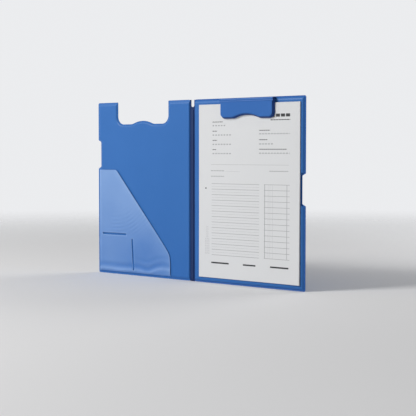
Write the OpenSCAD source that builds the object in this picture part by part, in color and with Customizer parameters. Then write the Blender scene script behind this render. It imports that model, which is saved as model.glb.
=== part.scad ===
/* [Sheets] */
// Width of a form
sheet_w = 210; // [200:1:214]
// Height of a form
sheet_h = 297; // [280:1:299]
// Thickness of the stack of blank forms
stack_t = 1.8; // [1:0.1:2.4]
// Thickness of the form on top
form_t = 0.2; // [0.1:0.05:0.4]

/* [Panels] */
// Bare strip of the back above and below the forms
level_margin = 10; // [9:0.5:16]
// Bare strip of the back between the spine and the forms
spine_margin = 12.5; // [11:0.5:18]
// Bare strip of the back between the forms and the free edge
edge_margin = 8.5; // [7.5:0.5:14]
// How much narrower the cover is than the back
cover_short = 7; // [4:0.5:10]
// Thickness of one film
film_t = 0.4; // [0.3:0.05:0.5]
// Thickness of the grey board in the back
back_board_t = 2.8; // [2.6:0.1:3.2]
// Thickness of the grey board in the cover
cover_board_t = 2; // [1.4:0.1:2.4]
// Width of the welded rim round each panel
rim_w = 3; // [2.5:0.1:4]
// Run of the sloped shoulder between rim and face
shoulder_w = 2; // [1:0.1:3]
// Width of the welded rim along the spine
hinge_rim_w = 0.8; // [0.6:0.1:1.5]
// Run of the sloped shoulder along the spine
hinge_shoulder_w = 1.2; // [1:0.1:2]
// Corner radius of the panels
panel_corner_r = 3; // [1:0.5:6]
// Play between a grey board and the film round it
board_play = 0.2; // [0.1:0.05:0.5]

/* [Finger notches] */
// Length of a finger notch at the panel's edge
notch_len = 53; // [40:1:60]
// Depth of a finger notch
notch_depth = 6.7; // [5:0.1:8]
// How far a notch's end slants along the edge
notch_slant = 3.5; // [1:0.5:6]
// Height of the back's notch above mid height
back_notch_z = 6.5; // [-20:0.5:20]
// Distance from the pocket's top to the foot of the cover's notch
notch_above_pocket = 2; // [1:0.5:10]

/* [Spine] */
// Distance between the two creases
spine_w = 10; // [9.6:0.1:12]
// Half gap from a crease line to the panel's film
crease_gap = 0.6; // [0.55:0.05:0.8]
// Width of a crease strip inside its crease line
crease_strip_w = 0.9; // [0.6:0.1:1.4]
// Width of the spine's stiffener
stiffener_w = 4.6; // [3:0.1:5]
// Thickness of the spine's stiffener
stiffener_t = 1.2; // [0.8:0.1:1.6]
// Depth of the slot at the top of the spine
slot_depth = 13; // [8:0.5:20]
// Length of plain film beyond each end of the stiffener
stiffener_margin = 4; // [3:0.5:8]

/* [Clip] */
// Width of the clip
clip_w = 112; // [100:1:116]
// Height of the clip over its lobes
clip_h = 33; // [28:1:36]
// Thickness of the clip
clip_t = 5.7; // [4.6:0.1:6.5]
// How far the clip's top lies below the folder's top
clip_drop = 2; // [1.8:0.1:2.6]
// Gap between the clip and the forms
clip_clear = 0.3; // [0.2:0.05:0.5]
// Radius of the clip's lower corners
clip_corner_r = 9; // [4:0.5:12]
// Run of the clip's sloped sides
clip_slope = 2.6; // [1:0.1:3]
// Height of the arch in the clip's lower edge
arch_h = 5.8; // [4:0.1:8]
// Half width of the arch
arch_w = 30; // [26:0.5:34]
// Share of the arch's curve that its crown takes
arch_crown_share = 0.78; // [0.5:0.01:0.85]
// Gap round the clip in the cover's cut-out
cutout_clear = 5.5; // [5:0.1:9]
// Height of the clip's hinge line above the clip's top
hinge_rise = 0.4; // [0.4:0.05:0.5]
// Gap between the hinge strap's round end and the tail film
hinge_gap = 0.2; // [0.15:0.05:0.4]
// Height of the tail film welded to the rim
tail_h = 2.4; // [1.5:0.1:2.4]

/* [Magnets] */
// Length of a wall magnet
wall_magnet_len = 40; // [20:1:60]
// Width of a wall magnet
wall_magnet_w = 20; // [12:1:30]
// Thickness of a wall magnet
wall_magnet_t = 1.6; // [1:0.1:1.8]
// Distance of a wall magnet from the board's edges
wall_magnet_inset = 14; // [8:1:30]
// Number of magnets in the clip
clip_magnet_count = 3; // [2:1:3]
// Length of a clip magnet
clip_magnet_len = 24; // [16:1:26]
// Height of a clip magnet
clip_magnet_h = 10; // [8:0.5:12]
// Thickness of a clip magnet
clip_magnet_t = 3; // [2:0.1:3.4]
// Distance of the clip magnets below the clip's top
clip_magnet_drop = 10; // [8:0.5:12]
// Width of the steel keeper plate under the clip
keeper_w = 104; // [90:1:108]
// Height of the keeper plate
keeper_h = 22; // [14:1:24]
// Thickness of the keeper plate
keeper_t = 0.8; // [0.5:0.1:0.9]

/* [Pocket] */
// Width of the pocket
pocket_w = 175; // [150:1:190]
// Height of the pocket
pocket_h = 188; // [170:1:190]
// Length of the pocket's level top edge
pocket_top_w = 44; // [30:1:60]
// Height of the pocket's upright side
pocket_side_h = 38; // [30:1:60]
// Thickness of the pocket film
pocket_t = 0.3; // [0.2:0.05:0.4]
// Room between the pocket film and the cover
pocket_gap = 0.3; // [0.2:0.05:0.5]
// Width of the pocket's weld
pocket_weld_w = 2; // [1.5:0.1:3]
// Width of a slit
slit_w = 3; // [1.5:0.1:3.5]
// Length of the level slit for a card
card_slit_len = 60; // [40:1:66]
// Distance of the card slit from the pocket's side
card_slit_x = 8; // [5:0.5:12]
// Height of the card slit above the pocket's foot
card_slit_z = 69; // [68:0.5:90]
// Length of the upright slit for a card
side_slit_len = 58; // [40:1:60]
// Distance of the upright slit from the pocket's side
side_slit_x = 84; // [82:0.5:100]
// Height of the upright slit above the pocket's foot
side_slit_z = 4; // [3:0.5:6]

/* [Hidden] */
$fn = 48;
eps = 1;

// Depths are counted forward from the wall, along -Y
rim_t = 2 * film_t;
back_t = back_board_t + 2 * film_t;
cover_t = cover_board_t + 2 * film_t;
folder_h = sheet_h + 2 * level_margin;
back_w = sheet_w + spine_margin + edge_margin;
cover_w = back_w - cover_short;
top_z = folder_h / 2;
foot_z = -folder_h / 2;

// Crease lines and panel edges
back_x0 = -back_w / 2;
back_x1 = back_w / 2;
back_crease_x = back_x0 - crease_gap;
cover_crease_x = back_crease_x - spine_w;
cover_x1 = cover_crease_x - crease_gap;
cover_x0 = cover_x1 - cover_w;
face_inset = rim_w + shoulder_w;
board_inset = face_inset + film_t + board_play;
hinge_board_inset = hinge_rim_w + hinge_shoulder_w + film_t + board_play;
spine_x = (back_crease_x + cover_crease_x) / 2;

// Forms, and the clip centred over them
clip_x = (spine_margin - edge_margin) / 2;
stack_depth = back_t;
form_depth = back_t + stack_t;
form_front = form_depth + form_t;

// Clip
clip_depth = form_front + clip_clear;
clip_top_z = top_z - clip_drop;
clip_low_z = clip_top_z - clip_h;
arch_angle = 2 * atan(arch_h / arch_w);
arch_crown_r = arch_crown_share * arch_w / sin(arch_angle);
arch_foot_r = (1 - arch_crown_share) * arch_w / sin(arch_angle);
hinge_z = clip_top_z + hinge_rise;
hinge_depth = rim_t + film_t + hinge_gap + film_t;
cover_mid_x = (cover_x0 + cover_x1) / 2;
cover_notch_z = foot_z + face_inset + pocket_h + notch_above_pocket + notch_len / 2;
clip_magnet_pitch = (clip_w - clip_corner_r) / clip_magnet_count;
slot_r = (spine_w - 2 * crease_strip_w) / 2;
slot_z = top_z - slot_depth + slot_r;

film_blue = "#3f6fb5";
pocket_blue = "#86a8dc";
board_grey = "#a8a294";
magnet_grey = "#3c3c40";
steel = "#b8bcc0";
paper_white = "#e4e5e6";

// A flat sheet parallel to the wall: its rear face lies at depth and it is t thick
module layer(depth, t) {
    translate([0, -depth, 0]) rotate([90, 0, 0]) linear_extrude(t) children();
}

function arc_points(x, z, r, from, to, steps) =
    [for (i = [0:steps]) [x + r * cos(from + (to - from) * i / steps), z + r * sin(from + (to - from) * i / steps)]];

module rounded_panel(x0, x1) {
    r = panel_corner_r;
    translate([x0 + r, foot_z]) square([x1 - x0 - 2 * r, folder_h]);
    translate([x0, foot_z + r]) square([x1 - x0, folder_h - 2 * r]);
    for (x = [x0 + r, x1 - r], z = [foot_z + r, top_z - r]) translate([x, z]) circle(r);
}

// Finger notch in a panel's free edge: side is +1 where the edge faces +X
module finger_notch(edge_x, mid_z, side, grow) {
    half = notch_len / 2 + grow;
    translate([edge_x, mid_z]) polygon([
        [side * eps, -half], [0, -half], [-side * (notch_depth + grow), -half + notch_slant],
        [-side * (notch_depth + grow), half - notch_slant], [0, half], [side * eps, half]
    ]);
}

// The clip's outline, with two lobes and an arch between them, grown all round
module clip_outline(top, grow) {
    polygon(concat(
        [[-clip_w / 2 - grow, top]],
        arc_points(-clip_w / 2 + clip_corner_r, clip_low_z + clip_corner_r, clip_corner_r + grow, 180, 270, 8),
        arc_points(-arch_w, clip_low_z + arch_foot_r, arch_foot_r + grow, 270, 270 + arch_angle, 5),
        arc_points(0, clip_low_z + arch_h - arch_crown_r, arch_crown_r - grow, 90 + arch_angle, 90 - arch_angle, 12),
        arc_points(arch_w, clip_low_z + arch_foot_r, arch_foot_r + grow, 270 - arch_angle, 270, 5),
        arc_points(clip_w / 2 - clip_corner_r, clip_low_z + clip_corner_r, clip_corner_r + grow, 270, 360, 8),
        [[clip_w / 2 + grow, top]]
    ));
}

module clip_shape(grow) {
    translate([clip_x, 0]) clip_outline(clip_top_z + grow, grow);
}

// The cover's cut-out leaves room round the clip when the cover is closed
module clip_cutout(grow) {
    translate([cover_mid_x, 0]) clip_outline(top_z + eps, cutout_clear + grow);
}

// A block with sloped sides: each side runs in by its own width between depths d0 and d1
module sloped_block(x0, x1, z0, z1, d0, d1, left, right, foot, top) {
    intersection() {
        translate([0, 0, z0 - eps]) linear_extrude(z1 - z0 + 2 * eps)
            polygon([[x0, -d0], [x1, -d0], [x1 - right, -d1], [x0 + left, -d1]]);
        translate([x0 - eps, 0, 0]) rotate([90, 0, 90]) linear_extrude(x1 - x0 + 2 * eps)
            polygon([[-d0, z0], [-d0, z1], [-d1, z1 - top], [-d1, z0 + foot]]);
    }
}

// Film formed over a board: flat rim, sloped shoulder and raised face.
// Along the spine, on side -1 or +1, rim and shoulder are narrow.
module formed_block(x0, x1, spine_side, inset, d0, d1) {
    left = spine_side < 0 ? [hinge_rim_w, hinge_shoulder_w] : [rim_w, shoulder_w];
    right = spine_side > 0 ? [hinge_rim_w, hinge_shoulder_w] : [rim_w, shoulder_w];
    sloped_block(x0 + left[0] + inset, x1 - right[0] - inset, foot_z + rim_w + inset, top_z - rim_w - inset,
                 d0, d1, left[1], right[1], shoulder_w, shoulder_w);
}

module back_outline() {
    difference() {
        rounded_panel(back_x0, back_x1);
        finger_notch(back_x1, back_notch_z, 1, 0);
    }
}

module back_rear_film() {
    color(film_blue) layer(0, film_t) back_outline();
}

module back_board() {
    color(board_grey) difference() {
        layer(film_t, back_board_t) difference() {
            translate([back_x0 + hinge_board_inset, foot_z + board_inset])
                square([back_w - hinge_board_inset - board_inset, folder_h - 2 * board_inset]);
            finger_notch(back_x1, back_notch_z, 1, rim_w + film_t + board_play);
        }
        layer(film_t, wall_magnet_t) wall_magnet_faces();
        layer(back_t - film_t - keeper_t, keeper_t) keeper_face();
    }
}

module wall_magnet_faces() {
    reach_x = back_w / 2 - board_inset - wall_magnet_inset - wall_magnet_len / 2;
    reach_z = folder_h / 2 - board_inset - wall_magnet_inset - wall_magnet_w / 2;
    for (x = [-reach_x, reach_x], z = [-reach_z, reach_z])
        translate([x, z]) square([wall_magnet_len, wall_magnet_w], center = true);
}

module wall_magnets() {
    color(magnet_grey) layer(film_t, wall_magnet_t) wall_magnet_faces();
}

module keeper_face() {
    keeper_mid_z = clip_top_z - clip_magnet_drop - clip_magnet_h / 2;
    translate([clip_x, keeper_mid_z]) square([keeper_w, keeper_h], center = true);
}

module keeper_plate() {
    color(steel) layer(back_t - film_t - keeper_t, keeper_t) keeper_face();
}

module back_front_film() {
    color(film_blue) difference() {
        union() {
            layer(film_t, film_t) back_outline();
            difference() {
                formed_block(back_x0, back_x1, -1, 0, film_t, back_t);
                layer(0, back_t + eps) finger_notch(back_x1, back_notch_z, 1, rim_w);
            }
        }
        difference() {
            formed_block(back_x0, back_x1, -1, film_t, film_t, back_t - film_t);
            layer(0, back_t + eps) finger_notch(back_x1, back_notch_z, 1, rim_w + film_t);
        }
    }
}

module clip_tail_film() {
    color(film_blue) layer(rim_t, film_t)
        translate([clip_x - clip_w / 2, top_z - (rim_w + tail_h) / 2]) square([clip_w, tail_h]);
}

module sheet_face() {
    translate([clip_x, 0]) square([sheet_w, sheet_h], center = true);
}

module paper_stack() {
    color(paper_white) layer(stack_depth, stack_t) sheet_face();
}

module form_sheet() {
    color(paper_white) layer(form_depth, form_t) sheet_face();
}

module spine_face() {
    difference() {
        translate([cover_crease_x + crease_strip_w, foot_z])
            square([spine_w - 2 * crease_strip_w, slot_z - foot_z]);
        translate([spine_x, slot_z]) circle(slot_r);
    }
}

module spine_outer_film() {
    color(film_blue) layer(0, film_t) spine_face();
}

module spine_stiffener() {
    length = slot_z - slot_r - foot_z - 2 * stiffener_margin;
    color(board_grey) layer(film_t, stiffener_t)
        translate([spine_x - stiffener_w / 2, foot_z + stiffener_margin]) square([stiffener_w, length]);
}

module spine_inner_film() {
    length = slot_z - slot_r - foot_z - 2 * stiffener_margin;
    color(film_blue) difference() {
        union() {
            layer(film_t, film_t) spine_face();
            layer(film_t, stiffener_t + film_t)
                translate([spine_x - stiffener_w / 2 - film_t, foot_z + stiffener_margin - film_t])
                    square([stiffener_w + 2 * film_t, length + 2 * film_t]);
        }
        layer(film_t, stiffener_t)
            translate([spine_x - stiffener_w / 2, foot_z + stiffener_margin]) square([stiffener_w, length]);
    }
}

// A double film with a round end on its crease line: inward is +1 or -1 along X
module crease_strip(line_x, inward) {
    translate([line_x, -film_t, foot_z]) linear_extrude(folder_h) union() {
        circle(film_t);
        translate([inward > 0 ? 0 : -crease_strip_w, -film_t]) square([crease_strip_w, rim_t]);
    }
}

module back_crease_strip() {
    color(film_blue) crease_strip(back_crease_x, -1);
}

module cover_crease_strip() {
    color(film_blue) crease_strip(cover_crease_x, 1);
}

module cover_outline() {
    difference() {
        rounded_panel(cover_x0, cover_x1);
        finger_notch(cover_x0, cover_notch_z, -1, 0);
        clip_cutout(0);
    }
}

module cover_openings(grow) {
    finger_notch(cover_x0, cover_notch_z, -1, grow);
    clip_cutout(grow);
}

module cover_outer_film() {
    color(film_blue) layer(0, film_t) cover_outline();
}

module cover_board() {
    color(board_grey) layer(film_t, cover_board_t) difference() {
        translate([cover_x0 + board_inset, foot_z + board_inset])
            square([cover_w - board_inset - hinge_board_inset, folder_h - 2 * board_inset]);
        cover_openings(rim_w + film_t + board_play);
    }
}

module cover_inner_film() {
    color(film_blue) difference() {
        union() {
            layer(film_t, film_t) cover_outline();
            difference() {
                formed_block(cover_x0, cover_x1, 1, 0, film_t, cover_t);
                layer(0, cover_t + eps) cover_openings(rim_w);
            }
        }
        difference() {
            formed_block(cover_x0, cover_x1, 1, film_t, film_t, cover_t - film_t);
            layer(0, cover_t + eps) cover_openings(rim_w + film_t);
        }
    }
}

// Pocket open along its slope, welded down its left side and along its foot
module pocket_face() {
    polygon([[0, 0], [pocket_w, 0], [pocket_w, pocket_side_h], [pocket_top_w, pocket_h], [0, pocket_h]]);
}

module pocket_film() {
    color(pocket_blue) translate([cover_x0 + face_inset, 0, foot_z + face_inset]) {
        layer(cover_t + pocket_gap, pocket_t) difference() {
            pocket_face();
            translate([card_slit_x, card_slit_z]) square([card_slit_len, slit_w]);
            translate([side_slit_x, side_slit_z]) square([slit_w, side_slit_len]);
        }
        layer(cover_t, pocket_gap) {
            square([pocket_w, pocket_weld_w]);
            square([pocket_weld_w, pocket_h]);
        }
    }
}

module clip_rear_film() {
    color(film_blue) layer(clip_depth, film_t) clip_shape(0);
}

module clip_magnet_faces() {
    for (i = [0:clip_magnet_count - 1])
        translate([clip_x + (i - (clip_magnet_count - 1) / 2) * clip_magnet_pitch,
                   clip_top_z - clip_magnet_drop - clip_magnet_h / 2])
            square([clip_magnet_len, clip_magnet_h], center = true);
}

module clip_magnets() {
    color(magnet_grey) layer(clip_depth + film_t, clip_magnet_t) clip_magnet_faces();
}

// The clip's body in front of its rear film, with sloped sides and an upright top
module clip_block(inset) {
    side = clip_w / 2 - inset;
    intersection() {
        layer(clip_depth + film_t, clip_t) clip_shape(-inset);
        sloped_block(clip_x - side, clip_x + side, clip_low_z + inset, clip_top_z,
                     clip_depth + film_t, clip_depth + clip_t - inset, clip_slope, clip_slope, clip_slope, 0);
    }
}

module clip_core() {
    color(board_grey) difference() {
        clip_block(film_t);
        layer(clip_depth + film_t, clip_magnet_t) clip_magnet_faces();
    }
}

module clip_front_film() {
    color(film_blue) difference() {
        clip_block(0);
        clip_block(film_t);
    }
}

// Strap over the clip's top, with a round end on the hinge line
module clip_hinge_strap() {
    color(film_blue) translate([clip_x - clip_w / 2, 0, 0]) rotate([90, 0, 90]) linear_extrude(clip_w) union() {
        translate([-hinge_depth, hinge_z]) circle(film_t);
        translate([-clip_depth - clip_t, clip_top_z]) square([clip_depth + clip_t - hinge_depth, rim_t]);
    }
}

back_rear_film();
back_board();
wall_magnets();
keeper_plate();
back_front_film();
clip_tail_film();
paper_stack();
form_sheet();
spine_outer_film();
spine_stiffener();
spine_inner_film();
back_crease_strip();
cover_crease_strip();
cover_outer_film();
cover_board();
cover_inner_film();
pocket_film();
clip_rear_film();
clip_magnets();
clip_core();
clip_front_film();
clip_hinge_strap();
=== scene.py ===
import math
import random

import bmesh
import bpy
from mathutils import Euler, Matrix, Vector


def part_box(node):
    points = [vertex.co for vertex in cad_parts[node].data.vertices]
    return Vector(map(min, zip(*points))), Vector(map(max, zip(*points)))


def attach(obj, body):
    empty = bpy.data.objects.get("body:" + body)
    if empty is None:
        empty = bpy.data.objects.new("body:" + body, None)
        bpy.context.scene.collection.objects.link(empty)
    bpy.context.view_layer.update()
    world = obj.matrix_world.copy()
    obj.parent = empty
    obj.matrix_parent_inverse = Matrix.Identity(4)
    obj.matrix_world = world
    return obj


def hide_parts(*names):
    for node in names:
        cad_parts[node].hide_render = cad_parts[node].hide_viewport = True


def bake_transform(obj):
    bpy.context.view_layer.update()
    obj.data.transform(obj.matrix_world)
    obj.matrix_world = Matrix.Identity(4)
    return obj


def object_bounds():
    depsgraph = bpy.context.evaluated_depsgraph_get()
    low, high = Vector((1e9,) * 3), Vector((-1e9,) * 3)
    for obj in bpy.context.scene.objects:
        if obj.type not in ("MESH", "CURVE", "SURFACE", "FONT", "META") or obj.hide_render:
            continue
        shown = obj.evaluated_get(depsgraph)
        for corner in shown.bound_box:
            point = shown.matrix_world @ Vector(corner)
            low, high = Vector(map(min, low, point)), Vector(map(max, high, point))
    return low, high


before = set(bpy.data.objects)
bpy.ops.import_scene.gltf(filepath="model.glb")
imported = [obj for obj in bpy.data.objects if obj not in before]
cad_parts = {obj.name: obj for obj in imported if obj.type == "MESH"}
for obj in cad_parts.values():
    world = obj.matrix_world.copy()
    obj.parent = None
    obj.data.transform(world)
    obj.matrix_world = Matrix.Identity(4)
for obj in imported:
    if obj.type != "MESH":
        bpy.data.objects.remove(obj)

cad_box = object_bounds()

# ---------------------------------------------------------------------------
# The studio: a camera to the right of the open folder, a pale floor and a pale
# surround. A large soft lamp is high on the left, with a small one beside it
# for the film's sheen, and weak lamps are at the right and behind.
# ---------------------------------------------------------------------------
camera_data = bpy.data.cameras.new("camera")
camera_data.sensor_width = 36
camera_data.lens = 93.85
camera_data.clip_end = 50
camera = bpy.data.objects.new("camera", camera_data)
camera.location = (1.0915, -1.4545, 0.0677)
camera.rotation_euler = Euler((math.radians(90 - 2.963), 0, math.radians(39.03)))
bpy.context.collection.objects.link(camera)
bpy.context.scene.camera = camera
bpy.context.scene.view_settings.view_transform = "Standard"


def soft_lamp(name, place, aim, size, watts, colour):
    """A square lamp at a place, turned to face a point of the folder."""
    lamp = bpy.data.lights.new(name, "AREA")
    lamp.size = size
    lamp.energy = watts
    lamp.color = colour
    holder = bpy.data.objects.new(name, lamp)
    holder.location = place
    direction = Vector(aim) - Vector(place)
    holder.rotation_euler = direction.to_track_quat("-Z", "Y").to_euler()
    bpy.context.collection.objects.link(holder)


soft_lamp("key_lamp", (-1.14, -1.93, 1.42), (-0.12, 0, 0), 0.8, 53, (1.0, 0.99, 0.97))
soft_lamp("sheen_lamp", (-2.25, -1.15, 0.66), (-0.3, 0, 0.1), 0.5, 4.5, (1.0, 0.99, 0.98))
soft_lamp("fill_lamp", (0.6, -1.8, 0.6), (0, 0, 0), 1.4, 1.6, (0.95, 0.975, 1.0))
soft_lamp("rear_lamp", (0.5, 1.6, 0.9), (-0.1, 0, 0), 1.2, 14, (1, 1, 1))


def pale_surround():
    """A pale world: full strength for what the eye and gloss see, weaker as light."""
    world = bpy.data.worlds.new("pale_surround")
    world.use_nodes = True
    nodes, links = world.node_tree.nodes, world.node_tree.links
    seen = nodes.new("ShaderNodeLightPath")
    either = nodes.new("ShaderNodeMath")
    either.operation = "MAXIMUM"
    links.new(seen.outputs["Is Camera Ray"], either.inputs[0])
    links.new(seen.outputs["Is Glossy Ray"], either.inputs[1])
    any_ray = nodes.new("ShaderNodeMath")
    any_ray.operation = "MAXIMUM"
    links.new(either.outputs[0], any_ray.inputs[0])
    links.new(seen.outputs["Is Transmission Ray"], any_ray.inputs[1])
    strength = nodes.new("ShaderNodeMapRange")
    strength.inputs["To Min"].default_value = 0.17
    strength.inputs["To Max"].default_value = 0.86
    links.new(any_ray.outputs[0], strength.inputs["Value"])
    background = nodes["Background"]
    background.inputs["Color"].default_value = (0.97, 0.98, 1.0, 1)
    links.new(strength.outputs[0], background.inputs["Strength"])
    bpy.context.scene.world = world


pale_surround()


def new_material(name, colour, roughness):
    """A material of one shader, with its colour and roughness set."""
    material = bpy.data.materials.new(name)
    material.use_nodes = True
    shader = material.node_tree.nodes["Principled BSDF"]
    shader.inputs["Base Color"].default_value = colour
    shader.inputs["Roughness"].default_value = roughness
    return material, material.node_tree.nodes, material.node_tree.links, shader


FLOOR_PALE = (0.76, 0.76, 0.77, 1)
FLOOR_SIZE = 8
FLOOR_GAP = 0.0001


def floor_material():
    """A pale matt floor that fades into the pale surround a few steps away."""
    material, nodes, links, shader = new_material("floor_pale", FLOOR_PALE, 0.9)
    place = nodes.new("ShaderNodeTexCoord")
    distance = nodes.new("ShaderNodeVectorMath")
    distance.operation = "LENGTH"
    links.new(place.outputs["Object"], distance.inputs[0])
    fade = nodes.new("ShaderNodeMapRange")
    fade.interpolation_type = "SMOOTHSTEP"
    fade.inputs["From Min"].default_value = 0.5
    fade.inputs["From Max"].default_value = 2.6
    links.new(distance.outputs["Value"], fade.inputs["Value"])
    clear = nodes.new("ShaderNodeBsdfTransparent")
    mix = nodes.new("ShaderNodeMixShader")
    links.new(fade.outputs[0], mix.inputs["Fac"])
    links.new(shader.outputs[0], mix.inputs[1])
    links.new(clear.outputs[0], mix.inputs[2])
    links.new(mix.outputs[0], nodes["Material Output"].inputs["Surface"])
    return material


bpy.ops.mesh.primitive_plane_add(size=FLOOR_SIZE, location=(0, 0, cad_box[0].z - FLOOR_GAP))
floor = bpy.context.object
floor.name = "floor"
floor.data.materials.append(floor_material())

# ---------------------------------------------------------------------------
# Rear film of the back panel: blue plastic sheet 0.4 mm thick, die-cut with
# round corners and one finger notch, and welded to the front film round its
# rim. The weld leaves a groove, and the four magnets print through as frames.
# ---------------------------------------------------------------------------
# Sizes are in millimetres. x and z start at the middle of the back panel, and a
# depth is how far a point lies in front of the folder's flat rear.
MM = 0.001
FILM_T = 0.4
FOLDER_H = 317
BACK_W = 231
TOP_Z = FOLDER_H / 2
BACK_X0 = -BACK_W / 2
BACK_X1 = BACK_W / 2
BACK_T = 3.6
RIM_T = 2 * FILM_T
RIM_W = 3.0
PANEL_CORNER_R = 3
NOTCH_LEN = 53
NOTCH_DEPTH = 6.7
NOTCH_SLANT = 3.5
NOTCH_EDGE_R = 1.0
NOTCH_INNER_R = 2.0
BACK_NOTCH_Z = 6.5
LEAST_R = 0.25
BEND_STEP = 1.5
BROAD_FACE_M2 = 0.0015
FREE, OPEN, SPINE = 0, 1, 2
FILM_FACE = (0.026, 0.134, 0.415, 1)
FILM_FACE_PALE = (0.033, 0.154, 0.460, 1)
FILM_RIM = (0.022, 0.110, 0.375, 1)
FILM_RIM_PALE = (0.028, 0.127, 0.425, 1)


def cloud_pattern(nodes, links, place, scale, detail=2):
    """An uneven pattern fixed to the piece, with about this many patches to the metre."""
    noise = nodes.new("ShaderNodeTexNoise")
    noise.inputs["Scale"].default_value = scale
    noise.inputs["Detail"].default_value = detail
    links.new(place.outputs["Object"], noise.inputs["Vector"])
    return noise.outputs["Fac"]


def tint_between(nodes, links, shader, share, deep, pale):
    """Colours the shader between two tones, by the share that a pattern gives."""
    tint = nodes.new("ShaderNodeMix")
    tint.data_type = "RGBA"
    tint.inputs["A"].default_value = deep
    tint.inputs["B"].default_value = pale
    links.new(share, tint.inputs["Factor"])
    links.new(tint.outputs["Result"], shader.inputs["Base Color"])


def roughen(nodes, links, surface, pattern, strength, depth):
    """Bumps a surface by a pattern. The surface is a shader, or a bump that lies over this one."""
    bump = nodes.new("ShaderNodeBump")
    bump.inputs["Strength"].default_value = strength
    bump.inputs["Distance"].default_value = depth
    links.new(pattern, bump.inputs["Height"])
    links.new(bump.outputs["Normal"], surface.inputs["Normal"])
    return bump


def film_material(name, deep, pale, roughness, gloss=0.26):
    """Satin plastic film: cloudy colour, fine grain and a slight orange peel."""
    material, nodes, links, shader = new_material(name, deep, roughness)
    place = nodes.new("ShaderNodeTexCoord")
    cloud = cloud_pattern(nodes, links, place, 9, 4)
    tint_between(nodes, links, shader, cloud, deep, pale)
    rub = nodes.new("ShaderNodeMapRange")
    rub.inputs["To Min"].default_value = roughness - 0.05
    rub.inputs["To Max"].default_value = roughness + 0.07
    links.new(cloud, rub.inputs["Value"])
    links.new(rub.outputs[0], shader.inputs["Roughness"])
    shader.inputs["Specular IOR Level"].default_value = gloss
    peel = roughen(nodes, links, shader, cloud_pattern(nodes, links, place, 70), 0.10, 0.0004)
    roughen(nodes, links, peel, cloud_pattern(nodes, links, place, 1500), 0.12, 0.0001)
    return material


film_face = film_material("film_on_board", FILM_FACE, FILM_FACE_PALE, 0.38)
film_rim = film_material("film_rim", FILM_RIM, FILM_RIM_PALE, 0.38)


def outline(corners, insets, steps=6):
    """Points round a shape, anticlockwise. Corners are (x, z, radius, kind of the side that
    starts there), and insets says how far each kind of side is drawn in. A wide bend takes
    more steps."""
    count = len(corners)
    sides = []
    for i in range(count):
        x0, z0 = corners[i][:2]
        x1, z1 = corners[(i + 1) % count][:2]
        length = math.hypot(x1 - x0, z1 - z0)
        sides.append(((x1 - x0) / length, (z1 - z0) / length, insets[corners[i][3]]))
    points = []
    for i in range(count):
        x, z, radius = corners[i][:3]
        ax, az, inset_a = sides[i - 1]
        bx, bz, inset_b = sides[i]
        cross = ax * bz - az * bx
        turn = math.atan2(cross, ax * bx + az * bz)
        bend_steps = max(steps, round(radius * abs(turn) / BEND_STEP))
        x += (inset_a * bx - inset_b * ax) / cross
        z += (inset_a * bz - inset_b * az) / cross
        bend = 1 if turn > 0 else -1
        radius = max(radius - bend * (inset_a + inset_b) / 2, LEAST_R)
        reach = radius * abs(math.tan(turn / 2))
        cx = x - ax * reach - az * radius * bend
        cz = z - az * reach + ax * radius * bend
        start = math.atan2(-ax * bend, az * bend)
        for k in range(bend_steps + 1):
            angle = start + turn * k / bend_steps
            points.append((cx + radius * math.cos(angle), cz + radius * math.sin(angle)))
    return points


def finish_mesh(name, builder, materials, smooth_angle=35):
    """Makes the piece, shades its bends smooth and its broad faces flat, and dresses it."""
    bmesh.ops.remove_doubles(builder, verts=builder.verts, dist=1e-7)
    bmesh.ops.recalc_face_normals(builder, faces=builder.faces)
    mesh = bpy.data.meshes.new(name)
    builder.to_mesh(mesh)
    builder.free()
    for material in materials:
        mesh.materials.append(material)
    mesh.shade_smooth()
    mesh.set_sharp_from_angle(angle=math.radians(smooth_angle))
    for face in mesh.polygons:
        face.use_smooth = face.area < BROAD_FACE_M2
    piece = bpy.data.objects.new(name, mesh)
    bpy.context.collection.objects.link(piece)
    return piece


def ring_of(builder, points, depth):
    """Mesh points at one depth."""
    return [builder.verts.new((x * MM, -depth * MM, z * MM)) for x, z in points]


def join_rings(builder, first, second, material):
    """Faces all round between two rings of as many points."""
    count = len(first)
    for i in range(count):
        j = (i + 1) % count
        face = builder.faces.new((first[i], first[j], second[j], second[i]))
        face.material_index = material


def panel_skin(name, corners, under, front, rim_inset, materials, steps=6):
    """A closed film: under and front run from the cut edge inwards, in steps of the insets
    (free side, opening, spine side) and the depth. As far in as the rim's inset it takes the
    second of its materials."""
    builder = bmesh.new()
    profile = list(reversed(under)) + list(front)
    rings = [ring_of(builder, outline(corners, step[:3], steps), step[3]) for step in profile]
    for k in range(len(rings) - 1):
        on_rim = max(profile[k][FREE], profile[k + 1][FREE]) <= rim_inset
        join_rings(builder, rings[k], rings[k + 1], 1 if on_rim else 0)
    builder.faces.new(rings[0])
    builder.faces.new(rings[-1])
    return finish_mesh(name, builder, materials)


def notch_corners(edge_x, mid_z, side):
    """Corners of a finger notch, in the order that an anticlockwise outline meets them."""
    half = NOTCH_LEN / 2
    inner_x = edge_x - side * NOTCH_DEPTH
    low, high = mid_z - half, mid_z + half
    if side > 0:
        return [
            (edge_x, low, NOTCH_EDGE_R, OPEN), (inner_x, low + NOTCH_SLANT, NOTCH_INNER_R, OPEN),
            (inner_x, high - NOTCH_SLANT, NOTCH_INNER_R, OPEN), (edge_x, high, NOTCH_EDGE_R, FREE),
        ]
    return [
        (edge_x, high, NOTCH_EDGE_R, OPEN), (inner_x, high - NOTCH_SLANT, NOTCH_INNER_R, OPEN),
        (inner_x, low + NOTCH_SLANT, NOTCH_INNER_R, OPEN), (edge_x, low, NOTCH_EDGE_R, FREE),
    ]


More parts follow.
